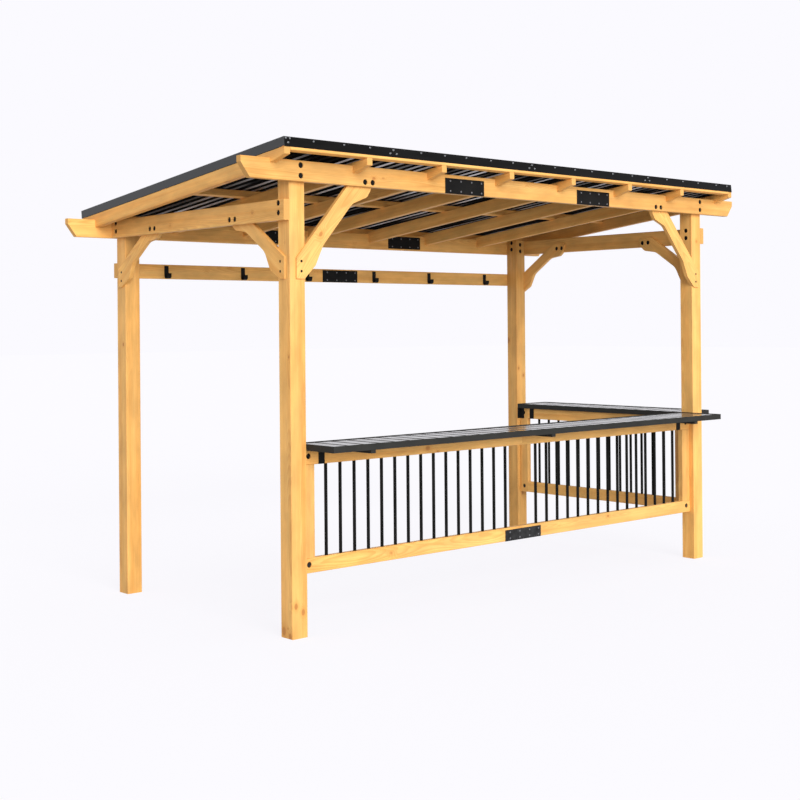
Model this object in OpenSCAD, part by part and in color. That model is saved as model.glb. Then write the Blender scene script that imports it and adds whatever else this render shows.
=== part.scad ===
// Hardtop grill gazebo: a lean-to timber pavilion with a ribbed steel roof on eight rafters,
// bar counters along the front and the right side, and a tool rail across the back.
// The timber joints are modelled as they are cut: rafters and beams cross in notches,
// knee braces are rabbeted at both ends, and bar rails lap over their studs.

/* [Posts and footprint] */
// Side of the square posts
post_w = 110; // [90:1:150]
// Length along the front, outer face to outer face of the posts
frame_l = 3942; // [3600:1:4400]
// Depth from front to back, outer face to outer face of the posts
frame_d = 1940; // [1700:1:2300]

/* [Beams] */
// Thickness of the beams
beam_t = 40; // [36:1:50]
// Depth of the beams
beam_h = 120; // [110:1:150]
// Height of the front beam's underside
front_beam_z = 2625; // [2560:1:2750]
// Height of the underside of the side and rear beams
rear_beam_z = 2404; // [2340:1:2440]
// How far the front and rear beams pass the posts at each end
beam_overhang = 364; // [260:1:500]
// Upright part of a beam's end before the slanted cut
beam_end_flat = 36; // [20:1:60]
// Length of the slanted cut at a beam's end
beam_end_cut = 63; // [30:1:90]
// Left joint of a three-piece beam, from the left post's outer face
beam_joint_left = 1371; // [1300:1:1450]
// Right joint of a three-piece beam, from the left post's outer face
beam_joint_right = 2631; // [2500:1:2700]

/* [Boards] */
// Thickness of rafters, rails and studs
board_t = 40; // [36:1:45]
// Width of rafters, rails and studs
board_h = 88; // [80:1:96]
// Width of the eased edges along the timbers
ease = 3; // [1:0.5:5]

/* [Rafters and purlins] */
// Number of rafters
rafter_count = 8; // [7:1:9]
// Rafter's top above the beam's top, at the middle of the beam
rafter_rise = 16; // [10:1:24]
// Depth of the notch in a beam's top edge
beam_notch = 47; // [35:1:55]
// How far the two side rafters stand above the others
side_lift = 20; // [10:1:25]
// Height of a rafter's tail at its tip
tail_tip = 43; // [30:1:52]
// How far the roof reaches past the posts at the front
eave_front = 178; // [150:1:230]
// How far the roof reaches past the posts at the back
eave_rear = 180; // [150:1:230]
// How far the roof reaches past the posts at each side
eave_side = 164; // [150:1:200]
// How far a rafter's tip stays behind the roof's edge
tip_inset = 5; // [3:1:15]
// Width of a purlin along the slope
purlin_w = 52; // [40:1:90]
// Thickness of a purlin
purlin_t = 45; // [38:1:50]
// Place of the middle purlin's centre behind the front post face
purlin_mid_y = 1080; // [900:1:1150]

/* [Roof skin] */
// Number of roof sheets
sheet_count = 4; // [3:1:5]
// Ribs from one side lap to the next
ribs_per_sheet = 13; // [11:1:15]
// Thickness of the sheet metal
sheet_t = 1; // [0.8:0.1:1.4]
// Height of a rib above the purlin
rib_h = 26; // [20:1:30]
// Width of a rib at its foot
rib_base = 36; // [32:1:40]
// Width of a rib at its crest
rib_top = 20; // [14:1:24]
// Height at which the covering sheet's free edge ends
lap_edge = 5; // [3:1:8]
// Thickness of the folded edge trim
trim_t = 1.5; // [1:0.1:2]
// Height of the front trim
fascia_h = 57; // [50:1:62]
// Height of the side trim
gable_h = 53; // [45:1:60]
// Width of the trim's leg on top of the sheets
trim_leg = 60; // [45:1:80]
// First joint in the front trim, from the left post's outer face
fascia_joint_first = 647; // [600:1:700]
// Length of the front trim's middle pieces
fascia_piece = 1211; // [1150:1:1250]

/* [Knee braces] */
// Thickness of the tongue that lies on the post
tongue_t = 12; // [8:1:16]
// Thickness of the knee braces
brace_t = 28; // [24:1:34]
// Width of the front braces across the grain
front_brace_w = 96; // [88:1:104]
// Width of the side braces across the grain
side_brace_w = 76; // [70:1:84]
// How far a front brace's foot is below its beam
front_brace_drop = 556; // [530:1:580]
// How far a side brace's foot is below its beam
side_brace_drop = 335; // [320:1:350]

/* [Hook rail] */
// How far the hook rail's underside is below the rear beam
hook_rail_drop = 269; // [240:1:300]
// Depth of the hook rail
hook_rail_h = 100; // [90:1:115]
// How far the hook rail's joint is left of the middle
hook_joint_left = 13; // [0:1:60]
// First hook's distance from the posts' outer faces
hook_first = 390; // [300:1:450]
// Second hook's distance from the posts' outer faces
hook_second = 1040; // [900:1:1150]
// Inner hooks' distance from the middle
hook_inner = 334; // [280:1:400]
// Width of a tool hook
hook_w = 34; // [25:1:45]
// Height of a tool hook
hook_h = 88; // [75:1:95]
// Thickness of a tool hook
hook_t = 3; // [2:0.5:4]
// Outer radius of a tool hook's bend
hook_r = 20; // [15:1:24]
// Upright tip of a tool hook
hook_tip = 16; // [8:1:24]

/* [Splice plates] */
// Length of a splice plate
plate_l = 346; // [300:1:380]
// Thickness of a splice plate
plate_t = 3; // [2:0.5:4]
// Height of the plates on the beams
beam_plate_h = 98; // [80:1:105]
// Height of the plate on the hook rail
hook_plate_h = 92; // [80:1:96]
// Height of the plates on the bar rails
rail_plate_h = 74; // [60:1:78]

/* [Bars] */
// How far the bar's rails and studs sit behind the posts' outer face
bar_setback = 38; // [30:1:50]
// Height of the lower rail's underside
low_rail_z = 357; // [320:1:400]
// Height of the upper rail's underside
top_rail_z = 988; // [950:1:1020]
// Diameter of a baluster
baluster_d = 20; // [16:1:24]
// Spacing of the balusters
baluster_pitch = 109; // [100:1:120]
// Gap between the two middle balusters of the front bar, centre to centre
baluster_gap = 297; // [280:1:320]
// Least distance from a stud to the first baluster's centre
baluster_end = 90; // [60:1:100]
// Depth to which a baluster is let into a rail
baluster_seat = 12; // [8:1:16]

/* [Counters] */
// Depth of a counter's edge
counter_h = 38; // [32:1:46]
// How far a counter stands out from the posts' outer face
counter_out = 250; // [200:1:300]
// Wall thickness of the counter's frame
counter_wall = 3; // [2:0.5:4]
// Width of the ledge inside the frame
counter_ledge = 25; // [20:1:28]
// How far the slats lie below the frame's rim
slat_recess = 4; // [2:0.5:6]
// Spacing of the counter's slats
slat_pitch = 120; // [110:1:130]
// Gap between two slats
slat_gap = 10; // [6:1:14]
// Thickness of a slat's sheet
slat_t = 2; // [1.5:0.5:3]
// Width of a support arm under the counter
arm_w = 35; // [30:1:45]
// Height of a support arm
arm_h = 20; // [15:1:30]
// Outer arms' distance from the posts under the front counter
front_arm_in = 301; // [250:1:360]
// Arms' distance from the posts under the side counter
side_arm_in = 205; // [190:1:260]
// How far an arm's tip stays behind the counter's edge
arm_inset = 6; // [4:1:20]
// Width of the saddle strap over the upper rail
saddle_w = 45; // [35:1:50]
// Saddle's distance from the post
saddle_end = 140; // [120:1:180]
// Length of the angle's leg on the rail
angle_leg = 50; // [40:1:60]

/* [Fixings] */
// Diameter of the through bolts
bolt_d = 10; // [8:1:12]
// Diameter of the recess round a bolt's head or nut
recess_d = 34; // [30:1:36]
// Depth of the recess round a bolt's head or nut
recess_deep = 9; // [8:1:10]
// Diameter of a brace screw's shank
screw_d = 6; // [5:0.5:7]
// Diameter of a brace screw's head
screw_head = 16; // [12:1:18]
// Length of a brace screw
screw_l = 70; // [50:1:75]

/* [Hidden] */
$fn = 32;

// Running clearance between pieces that fit round each other
fit_gap = 0.3;
// Gap in a butt joint under a splice plate
butt_gap = 1;
// Clearance of a rafter in its notch, each side
notch_gap = 0.5;
// Clearance between a counter and the posts
counter_gap = 2;
// Clearance of a brace's head under a rafter
brace_gap = 2;
// Extra length of a cutter past the face it leaves
over = 1;

timber_colour = [0.93, 0.72, 0.40];
black_colour = [0.13, 0.14, 0.15];
grey_colour = [0.27, 0.29, 0.30];
slat_colour = [0.55, 0.56, 0.57];

// Heights and slope that follow from the beams
front_top_z = front_beam_z + beam_h;
rear_top_z = rear_beam_z + beam_h;
slope = (front_top_z - rear_top_z) / (frame_d + beam_t);
pitch = atan(slope);
rafter_deep = board_h / cos(pitch);
front_seat_z = front_top_z - beam_notch;
rear_seat_z = rear_top_z - beam_notch;

// Rafter's top and underside at a distance y behind the front post face
function rafter_top(y) = front_top_z + rafter_rise - slope * (y + beam_t / 2);
function rafter_under(y) = rafter_top(y) - rafter_deep;

// Rafters' places along the front
rafter_first = -eave_side + trim_t + board_t / 2;
rafter_step = (frame_l - 2 * rafter_first) / (rafter_count - 1);
function rafter_x(n) = rafter_first + n * rafter_step;
function lift(n) = n == 0 || n == rafter_count - 1 ? side_lift : 0;

// Distances along the slope, measured on the rafters' top from the front beam's middle
function along(y) = (y + beam_t / 2) / cos(pitch);
roof_front = along(-eave_front) + trim_t;
roof_back = along(frame_d + eave_rear);
skin_z = purlin_t;
trim_z = skin_z + rib_h + sheet_t;
rib_first = -eave_side + trim_t + rib_base / 2 + over;
rib_step = (frame_l - 2 * rib_first) / (sheet_count * ribs_per_sheet);
rib_lean = atan((rib_h - sheet_t) / ((rib_base - rib_top) / 2));
rib_side = sheet_t / sin(rib_lean);
rib_corner = sheet_t * tan(rib_lean / 2);

// Bars
bar_y = bar_setback;
bar_in = bar_setback + board_t;
counter_z = top_rail_z + board_h;
mid_x = frame_l / 2;
lap_t = board_t / 2;
baluster_l = top_rail_z - low_rail_z - board_h + 2 * baluster_seat;
stud_l = counter_z - low_rail_z;
counter_depth = counter_out + post_w - counter_gap;

// Where the fixings go, measured from the underside of their beam or rail
front_bolt_rows = [33, 93];
side_bolt_rows = [43, 99];
rear_bolt_rows = [27, 83];
rail_bolt_up = 50;
front_brace_bolts = [[539, 27], [598, 27]];
side_brace_bolts = [[489, 34], [545, 34]];
brace_screw_u = 76;
brace_screw_up = [43, 101];

// The model stands on the ground with its origin at the middle of its own box
back_y = -beam_t / 2 + roof_back * cos(pitch) + (trim_z + trim_t) * sin(pitch);
place_y = (back_y - counter_out) / 2;
module place() {
    translate([-mid_x, -place_y, 0]) children();
}
module mirror_x() {
    translate([frame_l, 0, 0]) mirror([1, 0, 0]) children();
}
module mirror_y() {
    translate([0, frame_d, 0]) mirror([0, 1, 0]) children();
}
module timber() {
    color(timber_colour) place() children();
}
module black_steel() {
    color(black_colour) place() children();
}

// Local frame on the rafters' top: y runs down the slope, z stands square to it
module on_slope() {
    translate([0, -beam_t / 2, front_top_z + rafter_rise]) rotate([-pitch, 0, 0]) children();
}

// Through bolts. The grip runs along +Z from the head's timber face to the nut's timber face.
head_t = 6;
head_d = 20;
flange_t = 2;
flange_d = recess_d - 2 * fit_gap;
module bolt(grip) {
    translate([0, 0, recess_deep - flange_t]) cylinder(h = flange_t, d = flange_d);
    translate([0, 0, recess_deep - flange_t - head_t]) cylinder(h = head_t, d = head_d, $fn = 6);
    translate([0, 0, recess_deep - flange_t]) cylinder(h = grip - recess_deep + over, d = bolt_d);
    translate([0, 0, grip - recess_deep]) nut();
}
module nut() {
    difference() {
        union() {
            cylinder(h = flange_t, d = flange_d);
            cylinder(h = flange_t + head_t - over, d = head_d, $fn = 6);
        }
        translate([0, 0, -over]) cylinder(h = head_t + flange_t + 2 * over, d = bolt_d + 2 * fit_gap);
    }
}
module bolt_hole(grip) {
    translate([0, 0, -over]) cylinder(h = grip + 2 * over, d = bolt_d + 2 * fit_gap);
    translate([0, 0, -over]) cylinder(h = recess_deep + over, d = recess_d);
    translate([0, 0, grip - recess_deep]) cylinder(h = recess_deep + over, d = recess_d);
}

// Bolt places on one front post, one rear post and one side of each
module at_front_bolts() {
    for (up = front_bolt_rows)
        translate([post_w / 2, -beam_t, front_beam_z + up]) rotate([-90, 0, 0]) children();
}
module at_rear_bolts() {
    for (up = rear_bolt_rows)
        translate([post_w / 2, frame_d + beam_t, rear_beam_z + up]) rotate([90, 0, 0]) children();
}
module at_side_bolts() {
    for (up = side_bolt_rows)
        translate([-beam_t, post_w / 2, rear_beam_z + up]) rotate([0, 90, 0]) children();
}
post_grip = beam_t + post_w;
brace_grip = beam_t + brace_t - tongue_t;
rail_grip = board_t;

module at_front_brace_bolts() {
    for (p = front_brace_bolts)
        translate([p[0], -beam_t, front_beam_z + p[1]]) rotate([-90, 0, 0]) children();
}
module at_side_brace_bolts() {
    for (p = side_brace_bolts)
        translate([-beam_t, p[0], rear_beam_z + p[1]]) rotate([0, 90, 0]) children();
}
// Screws through a brace's tongue into the post, on the front and on the left of a front left post
module at_front_screws() {
    for (up = brace_screw_up)
        translate([brace_screw_u, -tongue_t, front_beam_z - front_brace_drop + up])
            rotate([-90, 0, 0]) children();
}
module at_side_screws() {
    for (up = brace_screw_up)
        translate([-tongue_t, brace_screw_u, rear_beam_z - side_brace_drop + up])
            rotate([0, 90, 0]) children();
}
screw_head_t = 3;
module screw() {
    cylinder(h = screw_head_t, d = screw_head);
    cylinder(h = screw_l, d = screw_d);
}
module screw_hole() {
    translate([0, 0, -over]) cylinder(h = screw_head_t + over, d = screw_head + 2 * fit_gap);
    cylinder(h = screw_l + over, d = screw_d + 2 * fit_gap);
}

// A timber's section with its corners eased, and timbers that lie along the front, lie along
// the side, or stand
module eased(w, h) {
    polygon([
        [ease, 0], [w - ease, 0], [w, ease], [w, h - ease],
        [w - ease, h], [ease, h], [0, h - ease], [0, ease]
    ]);
}
module lying(l, w, h) {
    rotate([90, 0, 90]) linear_extrude(l) eased(w, h);
}
module crossing(l, w, h) {
    translate([w, 0, 0]) rotate([0, 0, 90]) lying(l, w, h);
}
module standing(l, w, d) {
    linear_extrude(l) eased(w, d);
}

// Posts. The shape is made for the left side and mirrored to the right.
module front_post_left() {
    difference() {
        standing(front_top_z, post_w, post_w);
        at_front_bolts() bolt_hole(post_grip);
        at_side_bolts() bolt_hole(post_grip);
        at_front_screws() screw_hole();
        at_side_screws() screw_hole();
    }
}
module rear_post_left() {
    difference() {
        translate([0, frame_d - post_w, 0]) standing(rear_top_z, post_w, post_w);
        at_rear_bolts() bolt_hole(post_grip);
        mirror_y() at_side_bolts() bolt_hole(post_grip);
        mirror_y() at_side_screws() screw_hole();
    }
}
module post_front_left() { timber() front_post_left(); }
module post_front_right() { timber() mirror_x() front_post_left(); }
module post_rear_left() { timber() rear_post_left(); }
module post_rear_right() { timber() mirror_x() rear_post_left(); }

// What is sawn off the left end of a long beam, whose underside is at z = 0
module beam_end() {
    rise = beam_h - beam_end_flat;
    run = beam_end_cut / rise;
    translate([-beam_overhang, beam_t + over, 0]) rotate([90, 0, 0])
        linear_extrude(beam_t + 2 * over) polygon([
            [-over * run, rise + over], [-over * run, -over], [(rise + over) * run, -over]
        ]);
}
// The whole beam with its inner face on the posts, notched for the rafters
beam_far = frame_l + 2 * beam_overhang;
module long_beam(face_y, under_z) {
    difference() {
        translate([-beam_overhang, face_y, under_z]) lying(beam_far, beam_t, beam_h);
        translate([0, face_y, under_z]) {
            beam_end();
            mirror_x() beam_end();
        }
        for (n = [0 : rafter_count - 1])
            translate([
                rafter_x(n) - board_t / 2 - notch_gap, face_y - over,
                under_z + beam_h - beam_notch + lift(n)
            ]) cube([board_t + 2 * notch_gap, beam_t + 2 * over, beam_notch + over]);
    }
}
module front_beam() {
    difference() {
        long_beam(-beam_t, front_beam_z);
        at_front_bolts() bolt_hole(post_grip);
        mirror_x() at_front_bolts() bolt_hole(post_grip);
        at_front_brace_bolts() bolt_hole(brace_grip);
        mirror_x() at_front_brace_bolts() bolt_hole(brace_grip);
    }
}
module rear_beam() {
    difference() {
        long_beam(frame_d, rear_beam_z);
        at_rear_bolts() bolt_hole(post_grip);
        mirror_x() at_rear_bolts() bolt_hole(post_grip);
    }
}
// One length of a beam between two joints
module between(from_x, to_x) {
    intersection() {
        children();
        translate([from_x + butt_gap / 2, -frame_d, 0])
            cube([to_x - from_x - butt_gap, 3 * frame_d, 2 * front_top_z]);
    }
}
module front_beam_left() { timber() between(-beam_far, beam_joint_left) front_beam(); }
module front_beam_middle() { timber() between(beam_joint_left, beam_joint_right) front_beam(); }
module front_beam_right() { timber() between(beam_joint_right, beam_far) front_beam(); }
module rear_beam_left() { timber() between(-beam_far, beam_joint_left) rear_beam(); }
module rear_beam_middle() { timber() between(beam_joint_left, beam_joint_right) rear_beam(); }
module rear_beam_right() { timber() between(beam_joint_right, beam_far) rear_beam(); }

module side_beam() {
    difference() {
        translate([-beam_t, 0, rear_beam_z]) crossing(frame_d, beam_t, beam_h);
        at_side_bolts() bolt_hole(post_grip);
        mirror_y() at_side_bolts() bolt_hole(post_grip);
        at_side_brace_bolts() bolt_hole(brace_grip);
        mirror_y() at_side_brace_bolts() bolt_hole(brace_grip);
    }
}
module side_beam_left() { timber() side_beam(); }
module side_beam_right() { timber() mirror_x() side_beam(); }

// A polygon whose corners are turned into arcs of the radii r
arc_steps = 8;
function turn(a, r) = [r * cos(a), r * sin(a)];
function edge_angle(p, q) = atan2(q[1] - p[1], q[0] - p[0]);
function wrap(a) = a - 360 * round(a / 360);
function corner_arc(before, p, after, r) =
    let (first = edge_angle(p, before), spread = wrap(edge_angle(p, after) - first))
    let (half = abs(spread) / 2, middle = first + spread / 2)
    let (centre = p + turn(middle, r / sin(half)), sweep = (180 - 2 * half) * sign(spread))
    [for (k = [0 : arc_steps]) centre + turn(middle + 180 + sweep * (0.5 - k / arc_steps), r)];
function rounded(p, r) = [for (i = [0 : len(p) - 1]) for (q = r[i] == 0 ? [p[i]]
    : corner_arc(p[i - 1], p[i], p[i + 1], r[i])) q];

// A knee brace's corners run from the foot's toe and heel over the hip, waist, neck, chin and
// nose to the crown, and back along the straight back. Places are [u, v], u along the beam from
// the post's outer face. Hip and back are measured up from the foot, chin, nose and crown from
// the beam's underside. Waist and neck follow from the width of the wood at their u.
brace_radii = [0, 0, 38, 110, 90, 34, 26, 18, 0, 0];
module brace_outline(drop, wide, toe, heel, hip, back_up, lean, waist_u, neck_u,
                     chin, nose, crown) {
    function back(u) = back_up - drop + (u - toe) * tan(lean);
    polygon(rounded([
        [toe, -drop], [heel, -drop], [hip[0], hip[1] - drop],
        [waist_u, back(waist_u) - wide / cos(lean)],
        [neck_u, back(neck_u) - wide / cos(lean)],
        chin, nose, crown,
        [toe + (crown[1] - back(toe)) / tan(lean), crown[1]], [toe, back(toe)]
    ], brace_radii));
}

// A front brace in the corner of the front left post
front_toe = 41;
front_heel = 99;
front_hip = [180, 79];
front_back_up = 120;
front_lean = 48.7;
front_waist_u = 236;
front_neck_u = 460;
front_chin = [574, -60];
front_nose = [600, -22];
front_crown = [640, 62];
module front_brace_outline() {
    brace_outline(front_brace_drop, front_brace_w, front_toe, front_heel, front_hip,
                  front_back_up, front_lean, front_waist_u, front_neck_u,
                  front_chin, front_nose, front_crown);
}

// A side brace in the same corner
side_toe = 38;
side_heel = 78;
side_hip = [174, 56];
side_back_up = 127;
side_lean = 34.2;
side_waist_u = 226;
side_neck_u = 412;
side_chin = [520, -30];
side_nose = [550, -5];
side_crown = [588, 76];
module side_brace_outline() {
    brace_outline(side_brace_drop, side_brace_w, side_toe, side_heel, side_hip,
                  side_back_up, side_lean, side_waist_u, side_neck_u,
                  side_chin, side_nose, side_crown);
}
// The board between its two laps: the tongue lies on the post, the head behind the beam
module brace_laps(reach) {
    translate([-over, -reach, 0]) cube([post_w + over, 2 * reach, brace_t]);
    translate([0, 0, -tongue_t - over]) cube([2 * reach, reach, tongue_t + over]);
}
module front_brace() {
    difference() {
        translate([0, 0, front_beam_z]) rotate([90, 0, 0]) mirror([0, 0, 1]) difference() {
            translate([0, 0, -tongue_t]) linear_extrude(brace_t) front_brace_outline();
            brace_laps(frame_d);
        }
        at_front_brace_bolts() bolt_hole(brace_grip);
        at_front_screws() screw_hole();
        translate([rafter_x(1) - board_t / 2 - brace_gap, -over, rafter_under(board_t) - brace_gap])
            cube([board_t + 2 * brace_gap, brace_t, beam_h]);
    }
}
module side_brace() {
    difference() {
        translate([0, 0, rear_beam_z]) rotate([90, 0, 90]) difference() {
            translate([0, 0, -tongue_t]) linear_extrude(brace_t) side_brace_outline();
            brace_laps(frame_d);
        }
        at_side_brace_bolts() bolt_hole(brace_grip);
        at_side_screws() screw_hole();
    }
}
module front_brace_left() { timber() front_brace(); }
module front_brace_right() { timber() mirror_x() front_brace(); }
module side_brace_front_left() { timber() side_brace(); }
module side_brace_rear_left() { timber() mirror_y() side_brace(); }
module side_brace_front_right() { timber() mirror_x() side_brace(); }
module side_brace_rear_right() { timber() mirror_x() mirror_y() side_brace(); }

// A rafter's side outline, y from the front post face and z up
module rafter_outline() {
    tip_front = -eave_front + tip_inset;
    tip_rear = frame_d + eave_rear - tip_inset;
    polygon([
        [tip_front, rafter_top(tip_front)],
        [tip_rear, rafter_top(tip_rear)],
        [tip_rear, rafter_top(tip_rear) - tail_tip],
        [frame_d + beam_t, rear_seat_z],
        [frame_d - notch_gap, rear_seat_z],
        [frame_d - notch_gap, rafter_under(frame_d)],
        [notch_gap, rafter_under(0)],
        [notch_gap, front_seat_z],
        [-beam_t, front_seat_z],
        [tip_front, rafter_top(tip_front) - tail_tip]
    ]);
}
// What is planed off a rafter's four long edges
module rafter_edges() {
    from_y = along(-eave_front) - over;
    long = roof_back - from_y + over;
    for (x = [0, board_t]) for (z = [-board_h, 0])
        on_slope() translate([x, from_y, z]) rotate([0, 45, 0])
            translate([-ease / sqrt(2), 0, -ease / sqrt(2)])
                cube([ease * sqrt(2), long, ease * sqrt(2)]);
}
module rafter(n) {
    timber() translate([rafter_x(n) - board_t / 2, 0, lift(n)]) difference() {
        rotate([90, 0, 90]) linear_extrude(board_t) rafter_outline();
        rafter_edges();
    }
}
module rafter_1() { rafter(0); }
module rafter_2() { rafter(1); }
module rafter_3() { rafter(2); }
module rafter_4() { rafter(3); }
module rafter_5() { rafter(4); }
module rafter_6() { rafter(5); }
module rafter_7() { rafter(6); }
module rafter_8() { rafter(7); }

// Purlins lie flat across the rafters, rebated at both ends over the higher side rafters
skin_x = -eave_side + trim_t;
skin_l = frame_l - 2 * skin_x;
rebate_h = side_lift * cos(pitch);
module purlin(from_y) {
    timber() on_slope() difference() {
        translate([skin_x, from_y, 0]) lying(skin_l, purlin_w, purlin_t);
        for (x = [skin_x - over, skin_x + skin_l - board_t - notch_gap])
            translate([x, from_y - over, -over])
                cube([board_t + notch_gap + over, purlin_w + 2 * over, rebate_h + over]);
    }
}
module purlin_front() { purlin(roof_front); }
module purlin_middle() { purlin(along(purlin_mid_y) - purlin_w / 2); }
module purlin_rear() { purlin(roof_back - purlin_w - tip_inset); }

// Upper and lower points of one rib in the middle of a sheet
function rib_upper(x) = [
    [x - rib_base / 2, sheet_t], [x - rib_top / 2, rib_h],
    [x + rib_top / 2, rib_h], [x + rib_base / 2, sheet_t]
];
function rib_lower(x) = [
    [x - rib_base / 2 + rib_corner, 0], [x - rib_top / 2 + rib_corner, rib_h - sheet_t],
    [x + rib_top / 2 - rib_corner, rib_h - sheet_t], [x + rib_base / 2 - rib_corner, 0]
];
// How far a rib's outer side has moved out at the height z
function rib_out(z) = (rib_base - (z - sheet_t) / (rib_h - sheet_t) * (rib_base - rib_top)) / 2;
// A covering rib lies on the last rib of the sheet before it
function cover_upper(x) = [
    [x - rib_out(lap_edge) - rib_side, lap_edge],
    [x - rib_top / 2 - rib_corner, rib_h + sheet_t],
    [x + rib_top / 2 + rib_corner, rib_h + sheet_t],
    [x + rib_out(sheet_t) + rib_side, sheet_t]
];
function cover_lower(x) = [
    [x - rib_out(lap_edge), lap_edge], [x - rib_top / 2, rib_h],
    [x + rib_top / 2, rib_h], [x + rib_out(0), 0]
];
function edge_upper(x) = [[x, sheet_t]];
function edge_lower(x) = [[x, 0]];
function flat(lists) = [for (a = lists) for (b = a) b];
function backward(a) = [for (i = [len(a) - 1 : -1 : 0]) a[i]];

module sheet_outline(s) {
    first = s * ribs_per_sheet;
    last = first + ribs_per_sheet;
    left_rib = rib_first + first * rib_step;
    right_rib = rib_first + last * rib_step;
    middle = [for (k = [first + 1 : last - 1]) rib_first + k * rib_step];
    start_up = s == 0 ? concat(edge_upper(skin_x), rib_upper(left_rib)) : cover_upper(left_rib);
    start_low = s == 0 ? concat(edge_lower(skin_x), rib_lower(left_rib)) : cover_lower(left_rib);
    end_up = s == sheet_count - 1
        ? concat(rib_upper(right_rib), edge_upper(skin_x + skin_l))
        : concat([for (i = [0 : 2]) rib_upper(right_rib)[i]], [[right_rib + rib_out(0), 0]]);
    end_low = s == sheet_count - 1
        ? concat(rib_lower(right_rib), edge_lower(skin_x + skin_l)) : rib_lower(right_rib);
    upper = concat(start_up, flat([for (x = middle) rib_upper(x)]), end_up);
    lower = concat(start_low, flat([for (x = middle) rib_lower(x)]), end_low);
    polygon(concat(upper, backward(lower)));
}
module roof_sheet(s) {
    black_steel() on_slope() translate([0, roof_back, skin_z]) rotate([90, 0, 0])
        linear_extrude(roof_back - roof_front) sheet_outline(s);
}
module roof_sheet_1() { roof_sheet(0); }
module roof_sheet_2() { roof_sheet(1); }
module roof_sheet_3() { roof_sheet(2); }
module roof_sheet_4() { roof_sheet(3); }

// Folded trim: one leg on the ribs, one leg down the edge
module fascia_outline() {
    translate([roof_front - trim_t, trim_z]) square([trim_leg, trim_t]);
    translate([roof_front - trim_t, trim_z + trim_t - fascia_h]) square([trim_t, fascia_h]);
}
function fascia_joint(i) =
    i == 0 ? skin_x
    : i == 4 ? skin_x + skin_l
    : fascia_joint_first + (i - 1) * fascia_piece;
module fascia(i) {
    from_x = fascia_joint(i) + fit_gap;
    to_x = fascia_joint(i + 1) - fit_gap;
    black_steel() on_slope() translate([from_x, 0, 0]) rotate([90, 0, 90])
        linear_extrude(to_x - from_x) fascia_outline();
}
module fascia_1() { fascia(0); }
module fascia_2() { fascia(1); }
module fascia_3() { fascia(2); }
module fascia_4() { fascia(3); }
module gable_trim() {
    top_from = roof_front - trim_t + trim_leg + fit_gap;
    on_slope() {
        translate([skin_x - trim_t, top_from, trim_z])
            cube([trim_leg, roof_back - top_from, trim_t]);
        translate([skin_x - trim_t, roof_front - trim_t, trim_z + trim_t - gable_h])
            cube([trim_t, roof_back - roof_front + trim_t, gable_h]);
    }
}
module gable_trim_left() { color(grey_colour) place() gable_trim(); }
module gable_trim_right() { color(grey_colour) place() mirror_x() gable_trim(); }

// Hook rail across the rear faces of the rear posts
hook_rail_z = rear_beam_z - hook_rail_drop;
hook_rail_joint = mid_x - hook_joint_left;
module hook_rail(from_x, to_x) {
    timber() translate([from_x, frame_d, hook_rail_z]) lying(to_x - from_x, beam_t, hook_rail_h);
}
module hook_rail_left() { hook_rail(0, hook_rail_joint - butt_gap / 2); }
module hook_rail_right() { hook_rail(hook_rail_joint + butt_gap / 2, frame_l); }

// A flat steel hook: a plate on the rail, a half round bend and a short upright tip
hook_places = [for (x = [hook_first, hook_second, mid_x - hook_inner]) for (p = [x, frame_l - x]) p];
hook_low = hook_rail_z + hook_t;
module hook_outline() {
    translate([-hook_t, hook_r]) square([hook_t, hook_h - hook_r]);
    translate([-hook_r, hook_r]) difference() {
        circle(r = hook_r);
        circle(r = hook_r - hook_t);
        translate([-2 * hook_r, 0]) square([4 * hook_r, 2 * hook_r]);
    }
    translate([-2 * hook_r, hook_r]) square([hook_t, hook_tip]);
}
module tool_hooks() {
    black_steel() for (x = hook_places)
        translate([x - hook_w / 2, frame_d, hook_low])
            rotate([90, 0, 90]) linear_extrude(hook_w) hook_outline();
}

// Steel plates over the butt joints
module plate(centre_x, back_y, low_z, high) {
    translate([centre_x - plate_l / 2, back_y - plate_t, low_z]) cube([plate_l, plate_t, high]);
}
module splice_plates() {
    black_steel() {
        for (x = [beam_joint_left, beam_joint_right]) {
            plate(x, -beam_t, front_beam_z, beam_plate_h);
            plate(x, frame_d, rear_beam_z + (beam_h - beam_plate_h) / 2, beam_plate_h);
        }
        plate(hook_rail_joint, frame_d, hook_rail_z, hook_plate_h);
        plate(mid_x, bar_y, low_rail_z, rail_plate_h);
        plate(mid_x, bar_in + plate_t, top_rail_z, rail_plate_h);
    }
}

// Bars. A rail's ends lose their inner half, a stud loses its outer half behind each rail.
// Both are made for the front bar; the side bar's are turned about the front right post.
module turned() {
    translate([frame_l, 0, 0]) rotate([0, 0, 90]) children();
}
module rail_bolt_places(span, under_z) {
    for (x = [post_w + board_h / 2, span - post_w - board_h / 2])
        translate([x, bar_y, under_z + rail_bolt_up]) rotate([-90, 0, 0]) children();
}
module rail_body(span, under_z, hole_x, hole_z) {
    difference() {
        translate([post_w, bar_y, under_z]) lying(span - 2 * post_w, board_t, board_h);
        for (x = [post_w - over, span - post_w - board_h - fit_gap])
            translate([x, bar_y + lap_t, under_z - over])
                cube([board_h + fit_gap + over, lap_t + over, board_h + 2 * over]);
        rail_bolt_places(span, under_z) bolt_hole(rail_grip);
        for (x = hole_x)
            translate([x, bar_y + lap_t, hole_z])
                cylinder(h = baluster_seat + over, d = baluster_d + 2 * fit_gap);
    }
}
front_half = floor((mid_x - post_w - board_h - baluster_gap / 2 - baluster_end) / baluster_pitch);
front_baluster_x = [for (s = [-1, 1]) for (k = [0 : front_half])
    mid_x + s * (baluster_gap / 2 + k * baluster_pitch)];
side_span = frame_d;
side_count = floor((side_span - 2 * (post_w + board_h + baluster_end)) / baluster_pitch);
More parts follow.
